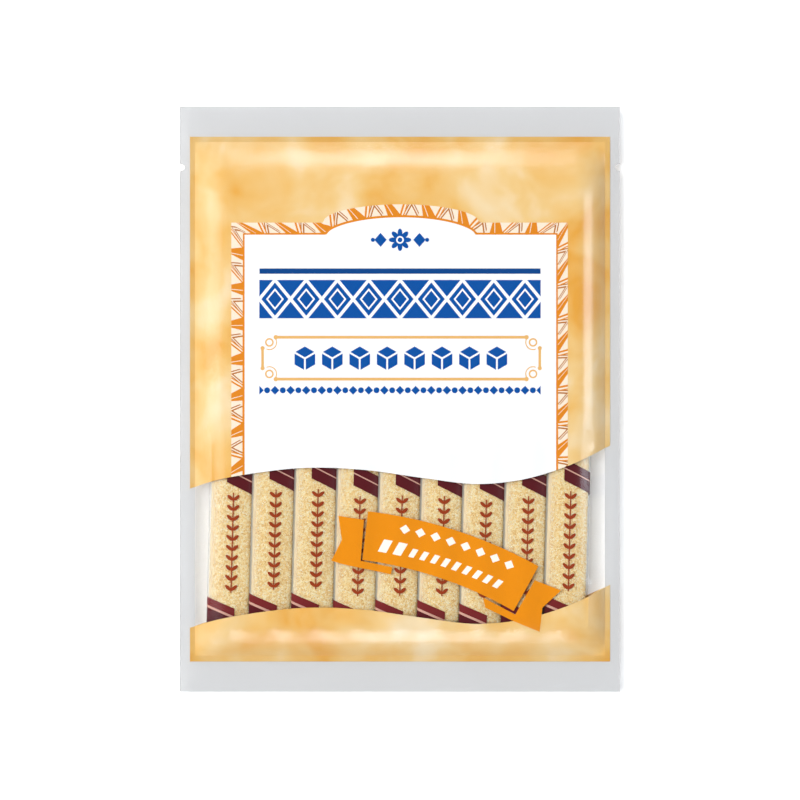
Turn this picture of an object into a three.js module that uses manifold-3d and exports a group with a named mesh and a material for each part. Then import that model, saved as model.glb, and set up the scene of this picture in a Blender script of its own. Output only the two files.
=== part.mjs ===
// A flat pack of brown sugar sticks. Two rows of slim sticks lie inside a clear film bag that is
// sealed on all four edges, and the shut bag is one closed solid. Millimetres, +Z up.
// The pack lies on its back with its printed front up and its top edge towards +Y.
// The origin is on the floor, under the middle of the pack.
import * as THREE from 'three'
import { mergeVertices } from 'three/addons/utils/BufferGeometryUtils.js'
import Module from 'manifold-3d'

const wasm = await Module()
wasm.setup()

// The bag's cut size and its heat seals
const BAG_WIDTH = 150
const BAG_HEIGHT = 199.5
const SIDE_SEAL = 5.1
const TOP_SEAL = 12.1
const BOTTOM_SEAL = 12.3
const SEAL_THICKNESS = 0.3
const SEAL_LEVEL = 4.5

// How far the front stands above the seals, and the slopes on which it climbs to that height
const FRONT_RISE = 5.1
const LEFT_SLOPE = 12
const RIGHT_SLOPE = 10
const TOP_SLOPE = 19
const BOTTOM_SLOPE = 13
const CROWN = 0.5

// The sticks that show as ridges through the front
const STICK_COUNT = 9
const STICK_PITCH = 14.3
const STICK_LEAN = THREE.MathUtils.degToRad(1.5)
const RIDGE_DEPTH = 0.45
const RIDGES_MIDDLE = -46
const RIDGES_HALF_LENGTH = 26
const RIDGES_FADE = 14

// The tear notches in both side seals
const NOTCH_FROM_TOP = 20.8
const NOTCH_DEPTH = 1.7
const NOTCH_HEIGHT = 2.3

// The mesh of the two faces
const SLOPE_COLUMNS = 4
const COLUMNS_PER_STICK = 6
const SEAL_ROWS = 1
const SLOPE_ROWS = 5
const FLAT_ROWS = 26

const rightEdge = BAG_WIDTH / 2
const topEdge = BAG_HEIGHT / 2
const sideSealLine = rightEdge - SIDE_SEAL
const topSealLine = topEdge - TOP_SEAL
const bottomSealLine = -topEdge + BOTTOM_SEAL
const ridgesHalfWidth = (STICK_COUNT * STICK_PITCH) / 2
const backDrop = SEAL_LEVEL - SEAL_THICKNESS / 2

// How much of its full height the film has reached at a distance inside a seal
function climb(distance, slope) {
  const share = THREE.MathUtils.clamp(distance / slope, 0, 1)
  return 1 - (1 - share) ** 2
}

function pillow(x, y) {
  const fromLeft = climb(x + sideSealLine, LEFT_SLOPE)
  const fromRight = climb(sideSealLine - x, RIGHT_SLOPE)
  const fromTop = climb(topSealLine - y, TOP_SLOPE)
  const fromBottom = climb(y - bottomSealLine, BOTTOM_SLOPE)
  return fromLeft * fromRight * fromTop * fromBottom
}

// The film dips between neighbouring sticks, most where the window lets them show
function dip(x, y) {
  const across = (x - Math.tan(STICK_LEAN) * (y - RIDGES_MIDDLE) + ridgesHalfWidth) / STICK_PITCH
  if (across < 0 || across > STICK_COUNT) return 0
  const beyond = Math.abs(y - RIDGES_MIDDLE) - RIDGES_HALF_LENGTH
  const strength = 1 - THREE.MathUtils.smoothstep(beyond, 0, RIDGES_FADE)
  return strength * RIDGE_DEPTH * (0.5 + 0.5 * Math.cos(2 * Math.PI * across))
}

function frontHeight(x, y) {
  const crown = CROWN * Math.cos((Math.PI * x) / BAG_WIDTH) * Math.cos((Math.PI * y) / BAG_HEIGHT)
  return SEAL_LEVEL + SEAL_THICKNESS / 2 + (FRONT_RISE + crown - dip(x, y)) * pillow(x, y)
}

function backHeight(x, y) {
  return backDrop * (1 - pillow(x, y))
}

// Lines of the mesh between two places, the second place left out
function steps(from, to, count) {
  return Array.from({ length: count }, (_, i) => from + ((to - from) * i) / count)
}

const columns = [
  ...steps(-rightEdge, -sideSealLine, 1),
  ...steps(-sideSealLine, -ridgesHalfWidth, SLOPE_COLUMNS),
  ...steps(-ridgesHalfWidth, ridgesHalfWidth, STICK_COUNT * COLUMNS_PER_STICK),
  ...steps(ridgesHalfWidth, sideSealLine, SLOPE_COLUMNS),
  ...steps(sideSealLine, rightEdge, 1),
  rightEdge,
]
const rows = [
  ...steps(-topEdge, bottomSealLine, SEAL_ROWS),
  ...steps(bottomSealLine, bottomSealLine + BOTTOM_SLOPE, SLOPE_ROWS),
  ...steps(bottomSealLine + BOTTOM_SLOPE, topSealLine - TOP_SLOPE, FLAT_ROWS),
  ...steps(topSealLine - TOP_SLOPE, topSealLine, SLOPE_ROWS),
  ...steps(topSealLine, topEdge, SEAL_ROWS),
  topEdge,
]

// A box of one layer, whose top and bottom sheets are moved to the front and the back of the bag
function bagGeometry() {
  const across = columns.length - 1
  const along = rows.length - 1
  const box = new THREE.BoxGeometry(across, along, 1, across, along, 1)
  const place = box.attributes.position
  for (let i = 0; i < place.count; i++) {
    const x = columns[Math.round(place.getX(i) + across / 2)]
    const y = rows[Math.round(place.getY(i) + along / 2)]
    const z = place.getZ(i) > 0 ? frontHeight(x, y) : backHeight(x, y)
    place.setXYZ(i, x, y, z)
  }
  return box
}

// A round-ended nick through the seal, half outside the bag's edge
function notchGeometry(side) {
  const nick = new THREE.CylinderGeometry(1, 1, 4 * SEAL_LEVEL, 16)
  nick.rotateX(Math.PI / 2)
  nick.scale(NOTCH_DEPTH, NOTCH_HEIGHT / 2, 1)
  nick.translate(side * rightEdge, topEdge - NOTCH_FROM_TOP, SEAL_LEVEL)
  return nick
}

function toSolid(geometry) {
  geometry.deleteAttribute('normal')
  geometry.deleteAttribute('uv')
  const merged = mergeVertices(geometry)
  const mesh = new wasm.Mesh({
    numProp: 3,
    vertProperties: new Float32Array(merged.attributes.position.array),
    triVerts: new Uint32Array(merged.index.array),
  })
  return new wasm.Manifold(mesh)
}

function toGeometry(solid) {
  const mesh = solid.getMesh()
  const geometry = new THREE.BufferGeometry()
  geometry.setAttribute('position', new THREE.BufferAttribute(mesh.vertProperties, 3))
  geometry.setIndex(new THREE.BufferAttribute(mesh.triVerts, 1))
  geometry.computeVertexNormals()
  return geometry
}

const cut = [-1, 1].reduce(
  (solid, side) => solid.subtract(toSolid(notchGeometry(side))),
  toSolid(bagGeometry()),
)

const bag = new THREE.Mesh(
  toGeometry(cut),
  new THREE.MeshStandardMaterial({ color: 0xf7c774, roughness: 0.3, metalness: 0 }),
)
bag.name = 'bag'

const pack = new THREE.Group()
pack.add(bag)

export default pack
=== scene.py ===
# A flat pack of brown sugar sticks, lying on its back with its printed front up. Sizes are the
# real ones, in metres: +X to the right across the front, +Y to the pack's top edge, +Z out of it.
import math

import bmesh
import bpy
import numpy as np
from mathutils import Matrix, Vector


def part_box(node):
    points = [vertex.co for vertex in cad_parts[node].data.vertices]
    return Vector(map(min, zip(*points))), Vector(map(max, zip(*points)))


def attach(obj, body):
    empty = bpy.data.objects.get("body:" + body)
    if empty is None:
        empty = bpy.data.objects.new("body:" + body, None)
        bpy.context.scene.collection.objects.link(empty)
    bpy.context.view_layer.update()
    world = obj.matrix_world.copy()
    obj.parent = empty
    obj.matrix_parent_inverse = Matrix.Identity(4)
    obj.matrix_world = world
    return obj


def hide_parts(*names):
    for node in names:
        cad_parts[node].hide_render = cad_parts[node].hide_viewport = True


MM = 0.001
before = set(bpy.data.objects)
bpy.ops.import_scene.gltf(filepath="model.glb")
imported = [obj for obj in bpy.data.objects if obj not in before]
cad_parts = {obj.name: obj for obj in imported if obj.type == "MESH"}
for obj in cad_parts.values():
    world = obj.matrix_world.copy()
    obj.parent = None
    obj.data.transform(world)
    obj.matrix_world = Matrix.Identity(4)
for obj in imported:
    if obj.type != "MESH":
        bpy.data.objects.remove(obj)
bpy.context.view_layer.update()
bag_low, bag_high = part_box("bag")


# ---- The camera ----
# It looks straight down on the pack through a long lens, as the photograph does. The seals fill
# 440 of the picture's 800 pixels from side to side, and the pack lies a little above its middle.
picture_pixels = 800
bag_pixels = 440
pack_off_middle = 0.3 * MM
seal_level = 4.5 * MM
bag_width = bag_high.x - bag_low.x
bag_height = bag_high.y - bag_low.y
lens_length = 135
sensor_width = 36
farthest_seen = 20
pictured_width = bag_width * picture_pixels / bag_pixels


def add_object(name, data):
    """Puts an object with this mesh, light or lens in the scene."""
    made = bpy.data.objects.new(name, data)
    bpy.context.scene.collection.objects.link(made)
    return made


camera = add_object("camera", bpy.data.cameras.new("camera"))
camera.data.lens = lens_length
camera.data.sensor_width = sensor_width
camera_height = seal_level + pictured_width * lens_length / sensor_width
camera.location = (0, -pack_off_middle, camera_height)
camera.data.clip_end = farthest_seen
bpy.context.scene.camera = camera
bpy.context.scene.view_settings.view_transform = "Standard"


# ---- The studio ----
# A plain pale floor just under the pack, lit softly from below as a light table is. The main light
# stands above it to the left, and isn't mirrored. Four softboxes stand off to the sides, so only
# the film's slopes mirror them, and the surround is dim overhead, where flat film mirrors it.
floor_drop = 0.2 * MM
floor_side = 6
floor_white = (0.93, 0.93, 0.93, 1)
floor_glow = 0.24
surround_low = 0.4
surround_overhead = 0.06
# How steeply one looks up where the surround starts to brighten, and where it is brightest
surround_fade = (0.9, 0.5)
softbox_white = (0.8, 0.9, 1.0)
softbox_distance = 1.2
main_light_distance = 3.0


def joined_by(operation):
    """A method of Wire that joins it to another wire or a number with this operation."""
    return lambda wire, other: wire.math(operation, wire, other)


class Wire:
    """A socket in a node tree. Arithmetic on it adds Math nodes, and node() adds any other."""

    def __init__(self, tree, socket=None):
        self.tree = tree
        self.socket = socket

    def node(self, kind, settings=None, inputs=None, output=0):
        made = self.tree.nodes.new(kind)
        for name, value in (settings or {}).items():
            if name == "stops":
                self.set_stops(made.color_ramp, value)
            else:
                setattr(made, name, value)
        for name, value in (inputs or {}).items():
            if isinstance(value, Wire):
                self.tree.links.new(value.socket, made.inputs[name])
            else:
                made.inputs[name].default_value = value
        return Wire(self.tree, made.outputs[output] if len(made.outputs) else None)

    @staticmethod
    def set_stops(ramp, stops):
        while len(ramp.elements) < len(stops):
            ramp.elements.new(1)
        for element, (place, colour) in zip(ramp.elements, stops):
            element.position = place
            element.color = colour

    def math(self, operation, *values):
        return self.node("ShaderNodeMath", {"operation": operation}, dict(enumerate(values)))

    __add__ = __radd__ = joined_by("ADD")
    __mul__ = __rmul__ = joined_by("MULTIPLY")
    __sub__ = joined_by("SUBTRACT")
    __truediv__ = joined_by("DIVIDE")
    __mod__ = joined_by("FLOORED_MODULO")
    __pow__ = joined_by("POWER")
    __lt__ = joined_by("LESS_THAN")
    __gt__ = joined_by("GREATER_THAN")
    either = joined_by("MAXIMUM")

    def __rsub__(self, other):
        return self.math("SUBTRACT", other, self)

    def __abs__(self):
        return self.math("ABSOLUTE", self)

    def between(self, low, high):
        return (self > low) * (self < high)

    def ramp(self, low, high):
        """0 up to low, then smoothly up to 1 at high. high may be the lesser of the two."""
        inputs = {"Value": self, "From Min": low, "From Max": high}
        return self.node("ShaderNodeMapRange", {"interpolation_type": "SMOOTHSTEP"}, inputs)

    def millimetres(self):
        """The three numbers of a place in metres, in millimetres."""
        apart = self.node("ShaderNodeSeparateXYZ", inputs={0: self}).socket.node
        return [Wire(self.tree, place) / MM for place in apart.outputs]

    def printed(self, colour, mask):
        """This colour with another one printed over it where the mask is 1."""
        inputs = {0: mask, 6: self, 7: colour}
        return self.node("ShaderNodeMix", {"data_type": "RGBA"}, inputs, output=2)


def screen_colour(red, green, blue):
    """A colour as a screen shows it, from 0 to 255, as the light that it gives back."""
    shares = [value / 255 for value in (red, green, blue)]
    light = [s / 12.92 if s < 0.04045 else ((s + 0.055) / 1.055) ** 2.4 for s in shares]
    return (*light, 1)


def new_finish(name):
    """An empty material, and the start of its nodes."""
    finish = bpy.data.materials.new(name)
    finish.use_nodes = True
    finish.node_tree.nodes.clear()
    return finish, Wire(finish.node_tree)


def wear(surface):
    """Ends a material's nodes in this surface."""
    surface.node("ShaderNodeOutputMaterial", inputs={"Surface": surface})


def add_floor():
    half = floor_side / 2
    corners = [(-half, -half), (half, -half), (half, half), (-half, half)]
    mesh = bpy.data.meshes.new("floor")
    mesh.from_pydata([(x, y, -floor_drop) for x, y in corners], [], [(0, 1, 2, 3)])
    floor = add_object("floor", mesh)
    paint, start = new_finish("floor_paint")
    inputs = {"Base Color": floor_white, "Roughness": 1.0, "Specular IOR Level": 0.0,
              "Emission Color": (1, 1, 1, 1), "Emission Strength": floor_glow}
    wear(start.node("ShaderNodeBsdfPrincipled", inputs=inputs))
    mesh.materials.append(paint)


def add_light(name, toward, tilt, size, power, distance=softbox_distance, mirrored=True):
    """An area light, toward degrees round from +X and tilt degrees off straight up."""
    data = bpy.data.lights.new(name, "AREA")
    data.shape = "RECTANGLE"
    data.size, data.size_y = size
    data.energy = power
    data.color = softbox_white if mirrored else (1, 1, 1)
    light = add_object(name, data)
    turn, lean = math.radians(toward), math.radians(tilt)
    reach = math.sin(lean) * distance
    light.location = (math.cos(turn) * reach, math.sin(turn) * reach, math.cos(lean) * distance)
    light.rotation_euler = (0, lean, turn)
    light.visible_glossy = mirrored


def add_surround():
    surround = bpy.data.worlds.new("surround")
    surround.use_nodes = True
    surround.node_tree.nodes.clear()
    start = Wire(surround.node_tree)
    toward = start.node("ShaderNodeTexCoord", output="Generated")
    up = toward.node("ShaderNodeSeparateXYZ", inputs={0: toward}, output="Z")
    strength = up.ramp(*surround_fade) * (surround_low - surround_overhead) + surround_overhead
    inputs = {"Color": (1, 1, 1, 1), "Strength": strength}
    light = start.node("ShaderNodeBackground", inputs=inputs)
    light.node("ShaderNodeOutputWorld", inputs={"Surface": light})
    bpy.context.scene.world = surround


add_floor()
add_surround()
add_light("main_light", 163, 30, (2.2, 2.2), 110.5, main_light_distance, mirrored=False)
add_light("softbox_left", 176.3, 47, (0.7, 0.21), 0.9)
add_light("softbox_right", 3.7, 49, (0.6, 0.21), 2.0)
add_light("softbox_top", 90, 49, (0.24, 0.07), 0.85)
add_light("softbox_bottom", 270, 46, (0.5, 0.14), 1.35)


# ---- The form of the filled bag ----
# Two clear plastic films, heat sealed to each other on all four edges. The front climbs from each
# seal over the sticks and dips a little between them; the back lies flat on what is under it.
side_seal = 5.1 * MM
top_seal = 12.1 * MM
bottom_seal = 12.3 * MM
seal_thickness = 0.3 * MM
front_rise = 5.1 * MM
left_slope = 12 * MM
right_slope = 10 * MM
top_slope = 19 * MM
bottom_slope = 13 * MM
crown_height = 0.5 * MM
stick_count = 9
stick_pitch = 14.3 * MM
stick_lean = math.radians(1.5)
ridge_depth = 0.45 * MM
ridges_middle = -46 * MM
ridges_half_length = 26 * MM
ridges_fade = 14 * MM
flutter_height = 0.12 * MM
flutter_wave = 47 * MM

right_edge = bag_width / 2
top_edge = bag_height / 2
side_seal_line = right_edge - side_seal
top_seal_line = top_edge - top_seal
bottom_seal_line = -top_edge + bottom_seal
row_half_width = stick_count * stick_pitch / 2


def climb(distance, slope):
    """How much of its full height the film has reached at a distance inside a seal."""
    share = np.clip(distance / slope, 0, 1)
    return 1 - (1 - share) ** 2


def pillow(x, y):
    sideways = climb(x + side_seal_line, left_slope) * climb(side_seal_line - x, right_slope)
    lengthways = climb(top_seal_line - y, top_slope) * climb(y - bottom_seal_line, bottom_slope)
    return sideways * lengthways


def dip(x, y):
    """How far the front film sinks between two sticks."""
    across = (x - math.tan(stick_lean) * (y - ridges_middle) + row_half_width) / stick_pitch
    beyond = np.clip((np.abs(y - ridges_middle) - ridges_half_length) / ridges_fade, 0, 1)
    strength = 1 - beyond * beyond * (3 - 2 * beyond)
    inside = (across >= 0) & (across <= stick_count)
    return inside * strength * ridge_depth * (0.5 + 0.5 * np.cos(2 * math.pi * across))


def flutter(x, y):
    """The seals aren't quite flat: their free edges rise and fall a little."""
    beside = np.clip((np.abs(x) - side_seal_line) / side_seal, 0, 1)
    above = np.clip((y - top_seal_line) / top_seal, 0, 1)
    below = np.clip((bottom_seal_line - y) / bottom_seal, 0, 1)
    along_side = np.sin(2 * math.pi * y / flutter_wave + np.sign(x))
    along_end = np.sin(2 * math.pi * x / flutter_wave + np.sign(y))
    return flutter_height * (beside**2 * along_side + (above + below) ** 2 * along_end)


def front(x, y):
    crown = crown_height * np.cos(math.pi * x / bag_width) * np.cos(math.pi * y / bag_height)
    rise = (front_rise + crown - dip(x, y)) * pillow(x, y)
    return seal_level + seal_thickness / 2 + rise + flutter(x, y)


def back(x, y):
    return (seal_level - seal_thickness / 2) * (1 - pillow(x, y)) + flutter(x, y)


# ---- The sticks' sugar ----
# Pale brown sugar, about 3 g in each stick, packed tight by its sleeve. What fills the middle is a
# body with a grainy surface, and the crystals that lie against the sleeve are real, loose blocks.
stick_length = 100 * MM
stick_half_width = 7.5 * MM
stick_half_thickness = 1.95 * MM
stick_squareness = 2.1
section_steps = 1441
thinnest_half = 0.05 * MM
crimp_length = 7 * MM
crimp_half_thickness = 0.15 * MM
bottom_shoulder = 9 * MM
top_shoulder = 14 * MM
end_bend = 1.9 * MM
sugar_gap = 0.37 * MM
sugar_side_gap = 0.62 * MM
sugar_low_end = 9.0 * MM
sugar_high_end = 88 * MM
fine_high_end = 70 * MM

front_row_middle = -0.4 * MM
front_row_level = 6.75 * MM
sticks_low_end = -84 * MM
# How far each stick of the front row has slid along its neighbours
stick_slides = [slide * MM for slide in (0.4, 1.5, 1.7, -0.7, -0.5, -0.7, -1.9, -0.7, 1.0)]
# Each rolls a little, with its left rim up on the stick before it. The first lies lower and flatter
stick_rolls = [math.radians(roll) for roll in (1.5, 5.2, 5.5, 5.2, 5.4, 5.2, 5.5, 5.2, 5.4)]
first_stick_drop = 0.5 * MM
back_row_level = 2.0 * MM
back_row_count = 10
back_slide = 0.8 * MM
back_slide_turn = 2.4
back_row_pitch = 12.8 * MM
back_stick_size = (0.835, 1, 0.92)

window_bottom = -80 * MM
window_top = -14 * MM
fine_step = 0.42 * MM
coarse_step = 2.5 * MM
grain_relief = 0.09 * MM
grain_size = 0.55 * MM
body_roughness = 0.55
crystal_roughness = 0.3
front_crystal_side = 0.34 * MM
back_crystal_side = 0.29 * MM
crystal_least = (0.8, 0.7, 0.7)
crystal_most = (1.3, 1.1, 1.1)
crystal_crowding = 1e7
full_turn = 6.3
front_crystal_spacing = 0.565 * MM
back_crystal_spacing = 0.85 * MM
sugar_seed = 7
# How squarely a sugar body has to face the window to carry crystals
facing_enough = 0.12
body_darkening = 0.85


def stops(*marks):
    """Numbers from the first mark on, at most the given step apart, through every mark."""
    values = [marks[0]]
    for step, end in zip(marks[1::2], marks[2::2]):
        start = values[-1]
        count = max(1, math.ceil((end - start) / step - 1e-6))
        values += [start + (end - start) * i / count for i in range(1, count + 1)]
    return values


def shares_round(over, under):
    """Places round a stick, as shares of the way, in so many steps over it and so many under it."""
    return stops(0, 0.5 / over, 0.5, 0.5 / under, 1)[:-1]


def new_piece(name, points, faces, corners=None):
    """A smooth mesh piece. corners gives each corner of each face its place in the print."""
    mesh = bpy.data.meshes.new(name)
    mesh.from_pydata(points, [], faces)
    if corners is not None:
        mesh.uv_layers.new(name="print").data.foreach_set("uv", np.ravel(corners))
    mesh.polygons.foreach_set("use_smooth", [True] * len(mesh.polygons))
    return add_object(name, mesh)


def pack_in(piece, slot, *finishes):
    """Makes a piece part of the pack, with these finishes unless it has its own."""
    for finish in finishes:
        piece.data.materials.append(finish)
    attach(piece, "root")


def section(half_width, half_thickness, shares):
    """Points at these shares of the way round a stick's section, from its left rim over the top."""
    angle = np.linspace(math.pi, -math.pi, section_steps)
    power = 2 / stick_squareness
    x = half_width * np.sign(np.cos(angle)) * np.abs(np.cos(angle)) ** power
    z = half_thickness * np.sign(np.sin(angle)) * np.abs(np.sin(angle)) ** power
    way = np.concatenate([[0], np.cumsum(np.hypot(np.diff(x), np.diff(z)))])
    return np.interp(shares * way[-1], way, x), np.interp(shares * way[-1], way, z), way[-1]


def fullness(along):
    """How full the sleeve is at a place along the stick, 0 in its crimped ends."""
    low = np.clip((along - crimp_length) / bottom_shoulder, 0, 1)
    high = np.clip((stick_length - crimp_length - along) / top_shoulder, 0, 1)
    return np.sqrt(1 - (1 - low) ** 2) * np.sqrt(1 - (1 - high) ** 2)


def stick_tube(name, stations, shares, inset, side_inset):
    """One stick's closed skin, with its middle line along +Y from the origin and its front up."""
    shares = np.array(shares)
    rings = len(shares)
    points = []
    for along in stations:
        full = fullness(along)
        thick = crimp_half_thickness + (stick_half_thickness - crimp_half_thickness) * full
        inner = max(thick - inset * (2 - full), thinnest_half)
        x, z, way = section(stick_half_width - side_inset, inner, shares)
        points += [(px, along, pz - end_bend * (1 - full)) for px, pz in zip(x, z)]
    perimeter = section(stick_half_width, stick_half_thickness, shares)[2]
    arcs = [*(shares * perimeter), perimeter]
    faces = []
    corners = []
    for j in range(len(stations) - 1):
        low, high = stations[j], stations[j + 1]
        for i in range(rings):
            after = (i + 1) % rings
            first, second = j * rings, (j + 1) * rings
            faces.append((first + i, first + after, second + after, second + i))
            corners += [(arcs[i], low), (arcs[i + 1], low), (arcs[i + 1], high), (arcs[i], high)]
    last = (len(stations) - 1) * rings
    faces.append(tuple(reversed(range(rings))))
    faces.append(tuple(last + i for i in range(rings)))
    corners += [(0, 0)] * rings + [(0, stick_length)] * rings
    return new_piece(name, points, faces, corners)


def new_tree(name, sockets):
    """A Geometry Nodes tree with these named inputs after its geometry."""
    tree = bpy.data.node_groups.new(name, "GeometryNodeTree")
    tree.interface.new_socket("Geometry", in_out="OUTPUT", socket_type="NodeSocketGeometry")
    tree.interface.new_socket("Geometry", in_out="INPUT", socket_type="NodeSocketGeometry")
    for label, kind in sockets:
        tree.interface.new_socket(label, in_out="INPUT", socket_type="NodeSocket" + kind)
    given = tree.nodes.new("NodeGroupInput")
    return tree, {socket.name: Wire(tree, socket) for socket in given.outputs if socket.name}


def end_tree(geometry, finish):
    """Makes the instances real, gives them their finish and ends the tree."""
    real = geometry.node("GeometryNodeRealizeInstances", inputs={0: geometry})
    inputs = {"Geometry": real, "Material": finish}
    dressed = real.node("GeometryNodeSetMaterial", inputs=inputs)
    dressed.node("NodeGroupOutput", inputs={"Geometry": dressed})


def grow(name, seed_piece, tree, values):
    """What a tree makes of a piece, as a plain mesh piece of its own."""
    modifier = seed_piece.modifiers.new(tree.name, "NODES")
    modifier.node_group = tree
    for item in tree.interface.items_tree:
        if item.in_out == "INPUT" and item.name in values:
            modifier[item.identifier] = values[item.name]
    bpy.context.view_layer.update()
    evaluated = seed_piece.evaluated_get(bpy.context.evaluated_depsgraph_get())
    mesh = bpy.data.meshes.new_from_object(evaluated)
    mesh.name = name
    seed_piece.modifiers.remove(modifier)
    return add_object(name, mesh)


def make_row_tree():
    """Lays one stick at each point of a row, rolled as the point says, and all leaning alike."""
    sockets = [("Stick", "Object"), ("Lean", "Float"), ("Size", "Vector"), ("Finish", "Material")]
    tree, given = new_tree("stick_row", sockets)
    points = given["Geometry"].node("GeometryNodeMeshToPoints", inputs={0: given["Geometry"]})
    inputs = {"Object": given["Stick"], "As Instance": True}
    stick = points.node("GeometryNodeObjectInfo", inputs=inputs, output="Geometry")
    roll = points.node(
        "GeometryNodeInputNamedAttribute", {"data_type": "FLOAT"}, {"Name": "roll"}
    )
    turn = roll.node("ShaderNodeCombineXYZ", inputs={1: roll, 2: given["Lean"]})
    inputs = {"Points": points, "Instance": stick, "Rotation": turn, "Scale": given["Size"]}
    end_tree(points.node("GeometryNodeInstanceOnPoints", inputs=inputs), given["Finish"])
    return tree


def make_crystal_tree():
    """Scatters small turned blocks where the sugar shows, close but not on top of each other."""
    sockets = [("Spacing", "Float"), ("Side", "Float"), ("Seed", "Int"), ("Finish", "Material")]
    tree, given = new_tree("sugar_crystals", sockets)
    shown = given["Geometry"].node(
        "GeometryNodeInputNamedAttribute", {"data_type": "FLOAT"}, {"Name": "shown"}
    )
    points = shown.node(
        "GeometryNodeDistributePointsOnFaces", {"distribute_method": "POISSON"},
        {"Mesh": given["Geometry"], "Distance Min": given["Spacing"],
         "Density Max": crystal_crowding, "Density Factor": shown, "Seed": given["Seed"]},
    )
    turn = points.node(
        "FunctionNodeRandomValue", {"data_type": "FLOAT_VECTOR"},
        {0: (0, 0, 0), 1: (full_turn,) * 3, "Seed": given["Seed"]},
    )
    size = points.node(
        "FunctionNodeRandomValue", {"data_type": "FLOAT_VECTOR"},
        {0: crystal_least, 1: crystal_most, "Seed": given["Seed"] + 1},
    )
    tint = points.node(
        "FunctionNodeRandomValue", {"data_type": "FLOAT"}, {"Seed": given["Seed"] + 2}, output=1
    )
    side = points.node("ShaderNodeCombineXYZ", inputs={i: given["Side"] for i in range(3)})
    block = side.node("GeometryNodeMeshCube", inputs={"Size": side})
    laid = block.node(
        "GeometryNodeInstanceOnPoints",
        inputs={"Points": points, "Instance": block, "Rotation": turn, "Scale": size},
    )
    tinted = laid.node(
        "GeometryNodeStoreNamedAttribute", {"data_type": "FLOAT", "domain": "INSTANCE"},
        {"Geometry": laid, "Name": "tint", "Value": tint},
    )
    end_tree(tinted, given["Finish"])
    return tree


def sugar_finish(name, find_tint, roughness):
    """Pale browns. find_tint gives each place a number from 0 to 1."""
    finish, start = new_finish(name)
    browns = (
        (0.0, screen_colour(230, 186, 112)),
        (0.3, screen_colour(250, 218, 150)),
        (0.7, screen_colour(255, 238, 184)),
        (1.0, screen_colour(255, 251, 230)),
    )
    tint = find_tint(start)
    colour = start.node("ShaderNodeValToRGB", {"stops": browns}, {0: tint})
    inputs = {"Base Color": colour, "Roughness": roughness, "Specular IOR Level": 0.5}
    wear(start.node("ShaderNodeBsdfPrincipled", inputs=inputs))
    return finish


def crystal_tint(start):
    return start.node("ShaderNodeAttribute", {"attribute_name": "tint"}, output="Fac")


def body_tint(start):
    place = start.node("ShaderNodeTexCoord", output="Object")
    inputs = {"Vector": place, "Scale": 1 / grain_size}
    cells = place.node("ShaderNodeTexVoronoi", inputs=inputs, output="Color")
    return cells.node("ShaderNodeSeparateXYZ", inputs={0: cells}) * body_darkening


def row_points(name, pitch, middle, levels, slides, rolls):
    """The low ends of a row of leaning sticks, and how far each stick is rolled."""
    points = []
    for i, (level, slide) in enumerate(zip(levels, slides)):
        y = sticks_low_end + slide
        lean = math.tan(stick_lean) * (y - ridges_middle)
        x = middle + (i - (len(levels) - 1) / 2) * pitch + lean
        points.append((x, y, level))
    row = new_piece(name, points, [])
    row.data.attributes.new("roll", "FLOAT", "POINT").data.foreach_set("value", rolls)
    return row


def places_and_normals(mesh):
    """The places of a mesh's points and which way each faces, as two flat rows of numbers."""
    places = np.empty(len(mesh.vertices) * 3, np.float32)
    outward = np.empty(len(mesh.vertices) * 3, np.float32)
    mesh.vertices.foreach_get("co", places)
    mesh.vertex_normals.foreach_get("vector", outward)
    return places, outward


def roughen(piece, random):
    """Moves every point of a sugar body in or out a little, as the grains do."""
    mesh = piece.data
    places, outward = places_and_normals(mesh)
    relief = np.repeat(random.uniform(-0.5, 0.5, len(mesh.vertices)), 3) * grain_relief
    mesh.vertices.foreach_set("co", places + outward * relief)
    mesh.update()


def mark_shown(piece, side):
    """Marks where a sugar body shows in the window, seen from the front (1) or the back (-1)."""
    mesh = piece.data
    places, outward = places_and_normals(mesh)
    y = places[1::3]
    shown = (outward[2::3] * side > facing_enough) & (y > window_bottom) & (y < window_top)
    mesh.attributes.new("shown", "FLOAT", "POINT").data.foreach_set("value", shown * 1.0)


row_tree = make_row_tree()
crystal_tree = make_crystal_tree()
sugar_body = sugar_finish("sugar_body", body_tint, body_roughness)
sugar_crystal = sugar_finish("sugar_crystal", crystal_tint, crystal_roughness)
random = np.random.default_rng(sugar_seed)

fine_shares = shares_round(42, 9)
fine_stations = stops(sugar_low_end, fine_step, fine_high_end, coarse_step, sugar_high_end)
sugar_stick = stick_tube("sugar_stick", fine_stations, fine_shares, sugar_gap, sugar_side_gap)
front_levels = [front_row_level - first_stick_drop] + [front_row_level] * (stick_count - 1)
front_row = row_points(
    "front_row", stick_pitch, front_row_middle, front_levels, stick_slides, stick_rolls
)
back_levels = [back_row_level] * back_row_count
back_slides = [back_slide * math.sin(back_slide_turn * i) for i in range(back_row_count)]
back_rolls = [math.pi] * back_row_count
back_row = row_points("back_row", back_row_pitch, 0, back_levels, back_slides, back_rolls)

rows = {
    "front": (front_row, (1, 1, 1), 1, front_crystal_side, front_crystal_spacing),
    "back": (back_row, back_stick_size, -1, back_crystal_side, back_crystal_spacing),
}
for side, (row, size, facing, crystal_side, spacing) in rows.items():
    values = {"Stick": sugar_stick, "Lean": -stick_lean, "Size": size, "Finish": sugar_body}
    sugar = grow("sugar_" + side, row, row_tree, values)
    mark_shown(sugar, facing)
    values = {"Spacing": spacing, "Side": crystal_side, "Seed": sugar_seed, "Finish": sugar_crystal}
    crystals = grow("crystals_" + side, sugar, crystal_tree, values)
    roughen(sugar, random)
    sugar.data.attributes.remove(sugar.data.attributes["shown"])
    pack_in(sugar, "brown_sugar")
    pack_in(crystals, "brown_sugar")
bpy.data.objects.remove(sugar_stick)


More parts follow.
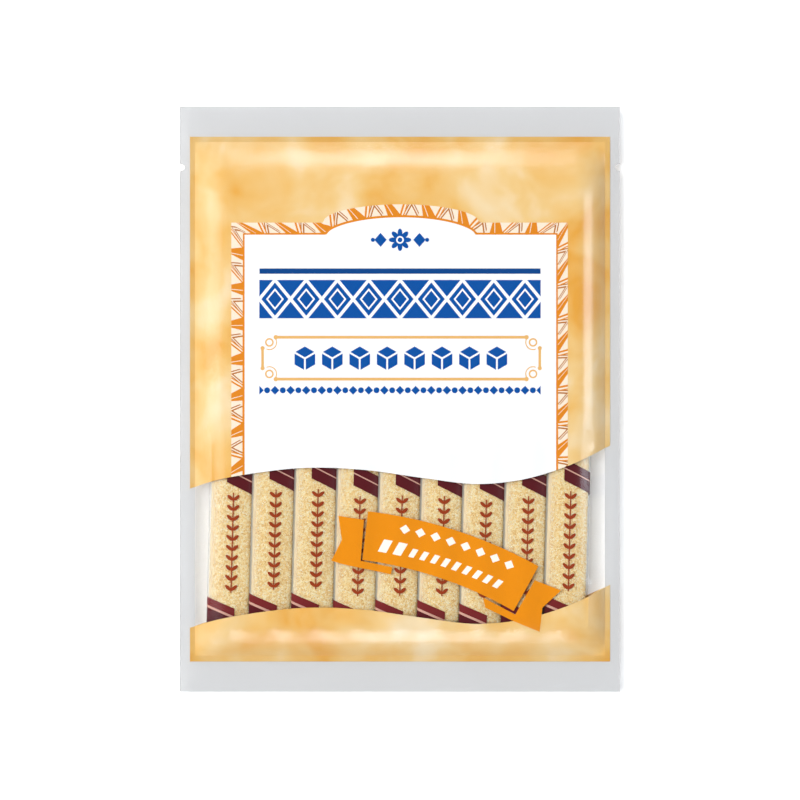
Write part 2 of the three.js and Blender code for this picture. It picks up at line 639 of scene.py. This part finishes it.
# ---- The sticks' sleeves ----
# A slim tube of clear plastic film round each portion, crimped flat at both ends. Slanted maroon
# bands and an upright red-brown twig are printed on it, and its ends bend down under the bag film.
sleeve_step = 2.5 * MM
low_shoulder_step = 0.9 * MM
high_shoulder_step = 1.2 * MM
sleeve_tint = (0.985, 0.985, 0.985, 1)
# The film's own milky colour, also used for the painted highlight along each stick's left rim
sleeve_milk_and_sheen_colour = (1, 0.97, 0.85, 1)
sleeve_haze = 0.03
sleeve_roughness = 0.28
sleeve_mirror = 0.04

maroon = screen_colour(92, 16, 26)
band_red = screen_colour(124, 34, 36)
band_pink = screen_colour(222, 172, 152)
twig_brown = screen_colour(160, 62, 24)
# Places on the sleeve in millimetres: across from the left rim, and along from the low end
top_bands_start = 6.4
top_bands_end = 22
top_bands_foot = 55.4
top_bands_fall = 0.47
bottom_bands_end = 10.1
bottom_bands_head = 16.5
bottom_bands_fall = 0.4
thick_band = 4.0
top_pink_line = 0.45
thin_band = 2.8
bottom_pink_line = 0.85
red_band = 2.7
twig_middle = 8.75
twig_low_end = 17.8
twig_high_end = 51.8
twig_period = 3.4
twig_half_width = 0.2
leaf_reach = 1.05
leaf_rise = math.radians(42)
leaf_half_length = 1.3
leaf_half_width = 0.58
# The sleeve looks milky along its left rim: partly film that stands off the sugar, partly a painted
# highlight for the lit left side of each round stick
milky_sheen_span = (5.0, 0.4)
milky_sheen_share = 0.3
ink_on_sleeve = {"Roughness": 0.3, "Specular IOR Level": 0.15}


def film_shine(start, straight, roughness, normal=None):
    """The mirror of a thin film, and its share of the light. straight is its share seen square."""
    inputs = {"Roughness": roughness}
    facing_inputs = {"Blend": 0.5}
    if normal:
        inputs["Normal"] = facing_inputs["Normal"] = normal
    mirror = start.node("ShaderNodeBsdfAnisotropic", inputs=inputs)
    edgeways = start.node("ShaderNodeLayerWeight", inputs=facing_inputs, output="Facing")
    share = edgeways**5 * (1 - straight) + straight
    return mirror, share


def clear_surface(start, tint, haze, haze_share, straight, roughness, normal=None):
    """A thin clear film: mostly see-through, a little milky, with a plastic shine."""
    through = start.node("ShaderNodeBsdfTransparent", inputs={"Color": tint})
    milk = start.node("ShaderNodeBsdfDiffuse", inputs={"Color": haze})
    body = start.node("ShaderNodeMixShader", inputs={0: haze_share, 1: through, 2: milk})
    mirror, share = film_shine(start, straight, roughness, normal)
    return start.node("ShaderNodeMixShader", inputs={0: share, 1: body, 2: mirror})


def plain_colour(start, colour):
    """One colour as a wire, for others to be printed over it."""
    plain = start.node("ShaderNodeRGB")
    plain.socket.default_value = colour
    return plain


def make_sleeve_finish():
    finish, start = new_finish("printed_sleeve")
    across, along, _ = start.node("ShaderNodeUVMap", {"uv_map": "print"}).millimetres()

    rise = along - top_bands_foot + (across - top_bands_start) * top_bands_fall
    second = thick_band + top_pink_line
    on_top = across.between(top_bands_start, top_bands_end) * (rise < second + thin_band)
    fall = bottom_bands_head - along - across * bottom_bands_fall
    on_bottom = across < bottom_bands_end
    red = fall.between(0, red_band) * on_bottom
    pink = rise.between(thick_band, second) * on_top
    pink = pink.either(fall.between(red_band, red_band + bottom_pink_line) * on_bottom)
    bands = ((rise > 0) * on_top).either((fall > 0) * on_bottom)

    beside = abs(across - twig_middle)
    outward = beside - leaf_reach
    upward = (along - twig_low_end) % twig_period - twig_period / 2
    leaf_along = outward * math.cos(leaf_rise) + upward * math.sin(leaf_rise)
    leaf_across = upward * math.cos(leaf_rise) - outward * math.sin(leaf_rise)
    leaf = (leaf_along / leaf_half_length) ** 2 + (leaf_across / leaf_half_width) ** 2 < 1
    twig = leaf.either(beside < twig_half_width) * along.between(twig_low_end, twig_high_end)

    colour = plain_colour(start, twig_brown).printed(maroon, bands)
    colour = colour.printed(band_red, red).printed(band_pink, pink)
    ink = start.node("ShaderNodeBsdfPrincipled", inputs={"Base Color": colour, **ink_on_sleeve})
    # Painted highlight: extra milky haze whitens each stick's left rim, over the film's own slight
    # haze
    haze = across.ramp(*milky_sheen_span) * milky_sheen_share + sleeve_haze
    clear = clear_surface(start, sleeve_tint, sleeve_milk_and_sheen_colour, haze, sleeve_mirror, sleeve_roughness)
    wear(start.node("ShaderNodeMixShader", inputs={0: twig.either(bands), 1: clear, 2: ink}))
    return finish


printed_sleeve = make_sleeve_finish()
sleeve_shares = shares_round(26, 16)
shoulder_end = crimp_length + bottom_shoulder
upper_shoulder = stick_length - crimp_length - top_shoulder
sleeve_stations = stops(
    0, crimp_length / 3, crimp_length, low_shoulder_step, shoulder_end, sleeve_step,
    upper_shoulder, high_shoulder_step, stick_length - crimp_length, crimp_length / 3, stick_length,
)
sleeve_stick = stick_tube("sleeve_stick", sleeve_stations, sleeve_shares, 0, 0)
for side, (row, size, *_) in rows.items():
    values = {"Stick": sleeve_stick, "Lean": -stick_lean, "Size": size, "Finish": printed_sleeve}
    pack_in(grow("sleeves_" + side, row, row_tree, values), "stick_sleeve")
    bpy.data.objects.remove(row)
bpy.data.objects.remove(sleeve_stick)


# ---- The bag film ----
# One clear plastic film bag, about 0.06 mm thick, modelled as one skin with its front and back.
# Its four heat seals are hazy, and a tear notch is cut into each side seal near the top.
mesh_step = 1.2 * MM
notch_level = top_edge - 20.8 * MM
notch_depth = 1.7 * MM
notch_half_height = 1.15 * MM
film_tint = (0.97, 0.97, 0.97, 1)
seal_tint = (0.9, 0.9, 0.9, 1)
milk_white = (0.89, 0.89, 0.895, 1)
film_haze = 0.003
film_mirror = 0.13
seal_haze = 0.86
# The film is smooth over the window and a little rougher towards its seals, in millimetres
clear_roughness = 0.16
edge_roughness = 0.26
rough_from_side = (52, 60)
rough_from_end = (70, 78)
wrinkle_size = 14 * MM
wrinkle_depth = 0.1 * MM
wrinkle_strength = 0.35
wrinkle_pattern = {"Detail": 2.0, "Distortion": 0.8}
crease_angle = math.radians(15)

film_columns = stops(
    -right_edge, mesh_step, -side_seal_line, mesh_step, side_seal_line, mesh_step, right_edge
)
film_rows = stops(
    -top_edge, mesh_step * 2, bottom_seal_line, mesh_step, notch_level - notch_half_height,
    notch_half_height / 6, notch_level + notch_half_height, mesh_step, top_seal_line,
    mesh_step * 2, top_edge,
)


def slab(name, x, y, top, bottom, corners=None):
    """A closed sheet on a grid of places, rows by columns, between two heights."""
    count = x.size
    points = np.concatenate([
        np.stack([x, y, top], axis=-1).reshape(-1, 3),
        np.stack([x, y, bottom], axis=-1).reshape(-1, 3),
    ])
    at = np.arange(count).reshape(x.shape)
    quads = np.stack([at[:-1, :-1], at[:-1, 1:], at[1:, 1:], at[1:, :-1]], axis=-1).reshape(-1, 4)
    rim = [*at[0, :-1], *at[:-1, -1], *at[-1, :0:-1], *at[:0:-1, 0]]
    around = np.stack([rim, np.roll(rim, -1)], axis=-1)
    walls = np.concatenate([around[:, ::-1], around + count], axis=1)
    faces = np.concatenate([quads, quads[:, ::-1] + count, walls])
    if corners is not None:
        both = np.concatenate([corners.reshape(-1, 2)] * 2)
        corners = both[faces.ravel()]
    piece = new_piece(name, points.tolist(), faces.tolist(), corners)
    piece.data.set_sharp_from_angle(angle=crease_angle)
    return piece


def make_film_finish(name, tint, haze):
    finish, start = new_finish(name)
    place = start.node("ShaderNodeTexCoord", output="Object")
    inputs = {"Vector": place, "Scale": 1 / wrinkle_size, **wrinkle_pattern}
    wrinkles = place.node("ShaderNodeTexNoise", inputs=inputs)
    inputs = {"Strength": wrinkle_strength, "Distance": wrinkle_depth, "Height": wrinkles}
    normal = wrinkles.node("ShaderNodeBump", inputs=inputs)
    x, y, _ = place.millimetres()
    edge = abs(x).ramp(*rough_from_side).either(abs(y).ramp(*rough_from_end))
    roughness = edge * (edge_roughness - clear_roughness) + clear_roughness
    wear(clear_surface(start, tint, milk_white, haze, film_mirror, roughness, normal))
    return finish


def make_film():
    x, y = np.meshgrid(film_columns, film_rows)
    inside_notch = np.clip(1 - ((y - notch_level) / notch_half_height) ** 2, 0, 1)
    edge = right_edge - notch_depth * np.sqrt(inside_notch)
    beyond = np.clip((np.abs(x) - side_seal_line) / side_seal, 0, 1)
    x = np.where(beyond > 0, np.sign(x) * (side_seal_line + beyond * (edge - side_seal_line)), x)
    return slab("bag_film", x, y, front(x, y), back(x, y))


def film_zones(film):
    """Which finish each face of the film has: 0 where clear, 1 on a seal's front, 2 on its back."""
    middles = np.empty(len(film.data.polygons) * 3)
    film.data.polygons.foreach_get("center", middles)
    beside = np.abs(middles[0::3]) > side_seal_line
    at_ends = (middles[1::3] > top_seal_line) | (middles[1::3] < bottom_seal_line)
    front_faces = (len(film_columns) - 1) * (len(film_rows) - 1)
    on_back = np.arange(len(beside)) >= front_faces
    return (beside | at_ends) * (1 + on_back)


bag_film = make_film()
pack_in(
    bag_film, "clear_film",
    make_film_finish("clear_film", film_tint, film_haze),
    make_film_finish("sealed_film", seal_tint, film_haze),
    make_film_finish("milky_seal", film_tint, seal_haze),
)
bag_film.data.polygons.foreach_set("material_index", film_zones(bag_film))
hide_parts("bag")


# ---- The print's two fields ----
# Opaque ink on the inside of the front film, in a cloudy cream and light orange. It leaves a wavy
# window between its upper and lower field, and reaches a little way over the seals.
field_half_width = 71.6 * MM
field_top = 89.45 * MM
ink_thickness = 0.03 * MM
field_depth = 0.11 * MM
label_depth = 0.05 * MM
window_height = 47.45 * MM
wave_marks = (
    (-71.6, -30.5), (-63.4, -27.8), (-49.1, -25.1), (-32.7, -23.35), (-12.3, -24.0),
    (8.2, -26.8), (26.6, -28.8), (40.9, -27.4), (58.6, -22.0), (71.6, -15.85),
)
cloud_size = 22 * MM
cloud_pattern = {"Detail": 3.0, "Roughness": 0.5, "Distortion": 0.3}
cloud_colours = (
    (0.32, screen_colour(235, 170, 68)),
    (0.46, screen_colour(240, 193, 113)),
    (0.58, screen_colour(243, 207, 142)),
    (0.72, screen_colour(247, 223, 180)),
)


def wave(x):
    """The window's upper edge, one smooth curve through its marks."""
    marks = np.array(wave_marks) * MM
    slopes = np.gradient(marks[:, 1], marks[:, 0])
    i = np.clip(np.searchsorted(marks[:, 0], x) - 1, 0, len(marks) - 2)
    gap = marks[i + 1, 0] - marks[i, 0]
    t = (x - marks[i, 0]) / gap
    rise = (marks[i + 1, 1] - marks[i, 1]) * t * t * (3 - 2 * t)
    return marks[i, 1] + rise + gap * t * (1 - t) * (slopes[i] * (1 - t) - slopes[i + 1] * t)


def cut_along(shape, places, direction):
    for place in places:
        geometry = [*shape.verts, *shape.edges, *shape.faces]
        point = [place * part for part in direction]
        bmesh.ops.bisect_plane(shape, geom=geometry, plane_co=point, plane_no=direction)


def draped(name, outline, height):
    """A sheet of ink in this outline, cut along the film's own mesh so that it follows it.

    height gives the height of its upper side.
    """
    shape = bmesh.new()
    shape.faces.new([shape.verts.new((x, y, 0)) for x, y in outline])
    x_places = [x for x, _ in outline]
    y_places = [y for _, y in outline]
    cut_along(shape, [x for x in film_columns if min(x_places) < x < max(x_places)], (1, 0, 0))
    cut_along(shape, [y for y in film_rows if min(y_places) < y < max(y_places)], (0, 1, 0))
    upper = list(shape.verts)
    lower_side = bmesh.ops.extrude_face_region(shape, geom=list(shape.faces), use_keep_orig=True)
    lower = [item for item in lower_side["geom"] if isinstance(item, bmesh.types.BMVert)]
    for vertex in upper:
        vertex.co.z = height(vertex.co.x, vertex.co.y)
    for vertex in lower:
        vertex.co.z = height(vertex.co.x, vertex.co.y) - ink_thickness
    bmesh.ops.recalc_face_normals(shape, faces=shape.faces)
    mesh = bpy.data.meshes.new(name)
    shape.to_mesh(mesh)
    shape.free()
    mesh.polygons.foreach_set("use_smooth", [True] * len(mesh.polygons))
    mesh.set_sharp_from_angle(angle=crease_angle)
    return add_object(name, mesh)


def wave_line(start, end, lift=0.0):
    """Points along the window's edge from one place across to another."""
    x = np.linspace(start, end, 1 + math.ceil(abs(end - start) / mesh_step))
    return list(zip(x, wave(x) + lift))


def dry_ink(start, colour):
    """Ends a material in plain printing ink of this colour. The film over it gives the shine."""
    inputs = {"Base Color": colour, "Roughness": 0.6, "Specular IOR Level": 0.0}
    wear(start.node("ShaderNodeBsdfPrincipled", inputs=inputs))


def make_cloudy_ink():
    finish, start = new_finish("cloudy_ink")
    place = start.node("ShaderNodeTexCoord", output="Object")
    inputs = {"Vector": place, "Scale": 1 / cloud_size, **cloud_pattern}
    clouds = place.node("ShaderNodeTexNoise", inputs=inputs)
    dry_ink(start, clouds.node("ShaderNodeValToRGB", {"stops": cloud_colours}, {0: clouds}))
    return finish


def under_front(depth):
    return lambda x, y: float(front(x, y)) - depth


cloudy_ink = make_cloudy_ink()
edge = field_half_width
fields = {
    "upper": [*wave_line(-edge, edge), (edge, field_top), (-edge, field_top)],
    "lower": [(-edge, -field_top), (edge, -field_top), *wave_line(edge, -edge, -window_height)],
}
for side, outline in fields.items():
    field = draped("print_" + side, outline, under_front(field_depth))
    pack_in(field, "printed_film", cloudy_ink)


# ---- The label ----
# A white panel printed over the upper field, with an arched top. Plain figures stand in the places
# of its words: a frieze of lozenges, a framed row of sugar cubes and a row of beads, all in blue.
label_left = -52.7 * MM
label_right = 52.95 * MM
label_top = 55.75 * MM
arch_middle = 0.35 * MM
arch_half_width = 25.25 * MM
arch_height = 5.9 * MM
arch_squareness = 0.6
arch_step = 0.7 * MM
label_white = screen_colour(254, 254, 254)
deep_blue = screen_colour(0, 70, 140)
bright_blue = screen_colour(0, 84, 166)
frame_gold = screen_colour(238, 188, 114)
# The middles of its figures above the pack's middle, and their reach sideways, in millimetres
rosette_level = 54.0
rule_level = (42.5, 44.3)
frieze_level = 33.9
frame_level = 13.88
frame_middle = 0.4
cubes_level = 13.8
beads_level = 3.0
rule_half_width = 47.65
figures_half_width = 47.7


def label_edge(x):
    """The label's upper edge: straight, with an arch in the middle."""
    share = np.clip(1 - ((x - arch_middle) / arch_half_width) ** 2, 0, 1)
    return label_top + arch_height * share**arch_squareness


def label_outline():
    foot = stops(label_left, mesh_step, label_right)
    head = stops(
        label_left, mesh_step * 2, arch_middle - arch_half_width, arch_step,
        arch_middle + arch_half_width, mesh_step * 2, label_right,
    )
    over = [(x, float(label_edge(x))) for x in reversed(head)]
    return [(x, float(wave(x))) for x in foot] + over


def cell(along, start, pitch):
    """The place across one of a row of like cells, 0 in its middle."""
    return (along - start) % pitch - pitch / 2


def lozenge(x, y, half_width, half_height):
    """How far out a place is in a lozenge: 1 on its outline."""
    return abs(x) / half_width + abs(y) / half_height


def disc(x, y, radius):
    return x * x + y * y < radius * radius


def frieze_mask(x, y):
    """Nine lozenges within lozenges, with triangles between them."""
    half_height, pitch = 6.5, 10.6
    rim, groove, beyond = 0.87, (0.44, 0.57), 1.13
    up = y - frieze_level
    out = lozenge(cell(x, -figures_half_width, pitch), up, pitch / 2, half_height)
    rings = (out < rim) - out.between(*groove)
    return rings.either(out > beyond) * (abs(up) < half_height) * (abs(x) < figures_half_width)


def rosette_mask(start, x, y):
    """An eight-petalled flower between two lozenges."""
    petal_reach, waist, groove = 1.7, 2.1, (0.8, 1.3)
    wing, dot = 6.6, 9.2
    up = y - rosette_level
    angle = start.math("ARCTAN2", up, x)
    petals = abs(start.math("COSINE", angle * 4)) * petal_reach + waist
    far = start.math("SQRT", x * x + up * up)
    flower = (far < petals) - far.between(*groove)
    beside = abs(x)
    wings = (lozenge(beside - wing, up, 2.1, 2.4) < 1).either(disc(beside - dot, up, 0.7))
    return flower.either(wings)


def cubes_mask(x, y):
    """Eight sugar cubes, each seen from one of its corners."""
    pitch, left, right = 9.3, -36.9, 37.5
    half_width, half_height, seam = 3.5, 4.05, 0.36
    across = abs(cell(x, left, pitch))
    slant = across * 0.577
    up = y - cubes_level
    hexagon = (across < half_width) * (slant + abs(up) < half_height)
    edges = (abs(up - slant) < seam).either((across < 0.3) * (up < 0))
    return hexagon * (1 - edges) * x.between(left, right)


def beads_mask(x, y):
    """A fine row of dots and small lozenges by turns."""
    pitch, dot, reach = 5.3, 1.0, 1.5
    up = y - beads_level
    dots = disc(cell(x, -figures_half_width, pitch), up, dot)
    small = lozenge(cell(x, -figures_half_width - pitch / 2, pitch), up, reach, reach) < 1
    return dots.either(small) * (abs(x) < figures_half_width)


def frame_mask(start, x, y):
    """A thin frame of four bars with an open curl at each corner."""
    bar, bar_end, post, post_end = 7.1, 42.4, 47.0, 3.3
    inner_curl, outer_curl = 1.2, 2.45
    beside = abs(x - frame_middle)
    up = abs(y - frame_level)
    bars = (abs(up - bar) < 0.48) * (beside < bar_end)
    posts = (abs(beside - post) < 0.45) * (up < post_end)
    curl_x, curl_y = beside - 44.7, up - 5.35
    far = start.math("SQRT", curl_x * curl_x + curl_y * curl_y)
    ring = abs(far - inner_curl) < 0.27
    arc = (abs(far - outer_curl) < 0.18) * (curl_x - curl_y * 0.2 < 1.4) * (curl_y < 1.0)
    ends = disc(beside - 42.5, up - bar, 0.75).either(disc(beside - post, up - 3.4, 0.7))
    return bars.either(posts).either(ring).either(arc).either(ends)


def make_label_ink():
    finish, start = new_finish("label_ink")
    x, y, _ = start.node("ShaderNodeTexCoord", output="Object").millimetres()
    rule = (abs(x) < rule_half_width) * y.between(*rule_level)
    figures = frieze_mask(x, y).either(rosette_mask(start, x, y)).either(beads_mask(x, y))
    colour = plain_colour(start, label_white).printed(frame_gold, frame_mask(start, x, y))
    colour = colour.printed(bright_blue, figures.either(cubes_mask(x, y)))
    dry_ink(start, colour.printed(deep_blue, rule))
    return finish


label = draped("label", label_outline(), under_front(label_depth))
pack_in(label, "printed_film", make_label_ink())


# ---- The label's border ----
# A narrow printed strip round the label, down to the window on both sides: an orange line next to
# the white, and outside it slanted orange blocks, stripes and thin peaks on cream.
border_left = -57.2 * MM
border_right = 56.9 * MM
border_top = 59.85 * MM
border_arch_half_width = 26.5 * MM
border_arch_height = 6.2 * MM
border_arch_squareness = 0.5
# How many steps it has up the left side, over the label and down the right side
border_steps = (75, 140, 70)
# Widths of its line and of its figures, and how often they repeat, in millimetres
border_line = 0.75
border_width = 3.6
border_pitch = 11.8
border_columns = 5
block_slant = 1.6
block_taper = 0.9
stripe_slant = 1.2
peak_middle = 3.5
peak_half_width = 1.9
border_cream = screen_colour(252, 236, 214)
border_orange = screen_colour(230, 141, 34)
border_brown = screen_colour(190, 118, 52)


def border_edge(x):
    """The border's outer upper edge."""
    share = np.clip(1 - ((x - arch_middle) / border_arch_half_width) ** 2, 0, 1)
    return border_top + border_arch_height * share**border_arch_squareness


def border_path():
    """Places along the border's inner and outer edge, up the left side, over and down the right."""
    up = np.linspace(0, 1, border_steps[0], endpoint=False)
    over = np.linspace(0, 1, border_steps[1], endpoint=False)
    down = np.linspace(1, 0, border_steps[2])
    edges = []
    limits = ((label_left, label_right, label_edge), (border_left, border_right, border_edge))
    for left, right, edge in limits:
        left_foot, right_foot = wave(np.array(left)), wave(np.array(right))
        across = left + (right - left) * over
        left_leg = left_foot + (edge(np.array(left)) - left_foot) * up
        right_leg = right_foot + (edge(np.array(right)) - right_foot) * down
        x = np.concatenate([np.full(len(up), left), across, np.full(len(down), right)])
        y = np.concatenate([left_leg, edge(across), right_leg])
        edges.append((x, y))
    return edges


def make_border():
    (inner_x, inner_y), (outer_x, outer_y) = border_path()
    share = np.linspace(0, 1, border_columns)[None, :]
    x = outer_x[:, None] + (inner_x - outer_x)[:, None] * share
    y = outer_y[:, None] + (inner_y - outer_y)[:, None] * share
    way = np.concatenate([[0], np.cumsum(np.hypot(np.diff(inner_x), np.diff(inner_y)))])
    along = np.repeat(way[:, None], border_columns, axis=1)
    away = np.hypot(inner_x - outer_x, inner_y - outer_y)[:, None] * (1 - share)
    top = front(x, y) - label_depth
    corners = np.stack([along, away], axis=-1)
    return slab("label_border", x, y, top, top - ink_thickness, corners)


def make_border_ink():
    finish, start = new_finish("border_ink")
    along, away, _ = start.node("ShaderNodeUVMap", {"uv_map": "print"}).millimetres()
    line = away < border_line
    out = (away - border_line) / border_width
    step = cell(along, 0, border_pitch)
    lean = (out - 0.5) * block_slant
    block = abs(step + 3.1 + lean) < 1.75 - (out - 0.5) * block_taper
    block = block * (abs(step + 3.6 + lean) > 0.12)
    sweep = out * stripe_slant
    stripes = (abs(step + 0.2 - sweep) < 0.32).either(abs(step - 0.9 - sweep) < 0.2)
    fall = abs(step - peak_middle) / peak_half_width
    peaks = (abs(1 - fall - out) < 0.13).either(abs(1.45 - fall - out) < 0.1)
    orange = line.either(block).either(stripes)
    colour = plain_colour(start, border_cream).printed(border_brown, peaks)
    dry_ink(start, colour.printed(border_orange, orange))
    return finish


pack_in(make_border(), "printed_film", make_border_ink())


# ---- The ribbon ----
# An orange ribbon printed across the window, in opaque ink on the film. Its band is an arc that is
# a little wider at its right end, and at each end a fold and a swallow-tailed tail show from behind
# it. Plain white figures stand on it in two rows.
ribbon_width = 16.6 * MM
ribbon_flare = 0.8 * MM
ribbon_start = (-11.8 * MM, -46.3 * MM)
ribbon_start_fall = math.radians(6.7)
ribbon_end_fall = math.radians(29.0)
ribbon_length = 57.9 * MM
ribbon_rows = 15
ribbon_columns = 50
ribbon_orange = screen_colour(238, 147, 8)
ribbon_white = screen_colour(255, 252, 240)
# The rows of its figures: places along it, and down from its upper edge, in millimetres
lozenge_row = {"start": 10.2, "end": 51.8, "pitch": 5.2, "level": 4.0}
tall_row = {"start": 4.6, "end": 15, "pitch": 5.2, "level": 10.8}
short_row = {"start": 15.4, "end": 50.5, "pitch": 3.9, "level": 11.2}
bar_slant = 0.35
bar_slant_level = 11.0
left_tail = (
    (-20.9, -39.6), (-19.7, -47.7), (-23.3, -54.8), (-19.4, -56.0), (-3.1, -59.4),
    (-2.6, -57.0), (-13.35, -54.8), (-12.2, -40.9),
)
right_tail = (
    (45.7, -61.4), (39.1, -73.1), (28.2, -67.3), (28.9, -70.7), (38.5, -75.3),
    (47.4, -79.0), (48.3, -70.8), (54.6, -64.9),
)


def make_band():
    """The band as a grid along and across its arc."""
    along = np.linspace(0, ribbon_length, ribbon_columns)[None, :]
    down = np.linspace(1, 0, ribbon_rows)[:, None]
    radius = ribbon_length / (ribbon_end_fall - ribbon_start_fall)
    fall = ribbon_start_fall + along / radius
    out = ribbon_width / 2 - down * (ribbon_width + ribbon_flare * along / ribbon_length)
    x = ribbon_start[0] + radius * (np.sin(fall) - math.sin(ribbon_start_fall))
    y = ribbon_start[1] + radius * (np.cos(fall) - math.cos(ribbon_start_fall))
    x, y = x + out * np.sin(fall), y + out * np.cos(fall)
    top = front(x, y) - label_depth
    corners = np.stack(np.broadcast_arrays(along, down * ribbon_width), axis=-1)
    return slab("ribbon_band", x, y, top, top - ink_thickness, corners)


def figure_row(along, down, start, end, pitch, level):
    """Places across and down from the middles of a row of figures, and where the row is."""
    return cell(along, start, pitch), down - level, along.between(start, end)


def make_ribbon_ink():
    finish, start = new_finish("ribbon_ink")
    along, down, _ = start.node("ShaderNodeUVMap", {"uv_map": "print"}).millimetres()
    across, below, within = figure_row(along, down, **lozenge_row)
    figures = (lozenge(across, below, 1.75, 1.6) < 1) * within
    slant = (down - bar_slant_level) * bar_slant
    for row, half_width, half_height in ((tall_row, 1.5, 2.2), (short_row, 0.95, 1.5)):
        across, below, within = figure_row(along, down, **row)
        bars = (abs(across + slant) < half_width) * (abs(below) < half_height)
        figures = figures.either(bars * within)
    dry_ink(start, plain_colour(start, ribbon_orange).printed(ribbon_white, figures))
    return finish


def make_plain_ink(name, colour):
    finish, start = new_finish(name)
    dry_ink(start, colour)
    return finish


tail_ink = make_plain_ink("tail_ink", ribbon_orange)
pack_in(make_band(), "printed_film", make_ribbon_ink())
for name, outline in (("ribbon_tail_left", left_tail), ("ribbon_tail_right", right_tail)):
    metres = [(x * MM, y * MM) for x, y in outline]
    pack_in(draped(name, metres, under_front(label_depth)), "printed_film", tail_ink)


# ---- The back's print ----
# The back film is printed like the front, seen from behind: the same two cloudy fields and the
# same window between them, and a bare white panel.
back_field_depth = 0.08 * MM
back_label_depth = 0.02 * MM
back_label_corners = ((-42, 0), (42, 0), (42, 58), (-42, 58))


def over_back(depth):
    return lambda x, y: float(back(x, y)) + depth + ink_thickness


for side, outline in fields.items():
    field = draped("back_print_" + side, outline, over_back(back_field_depth))
    pack_in(field, "printed_film", cloudy_ink)
back_label_outline = [(x * MM, y * MM) for x, y in back_label_corners]
back_label = draped("back_label", back_label_outline, over_back(back_label_depth))
pack_in(back_label, "printed_film", make_plain_ink("white_ink", label_white))
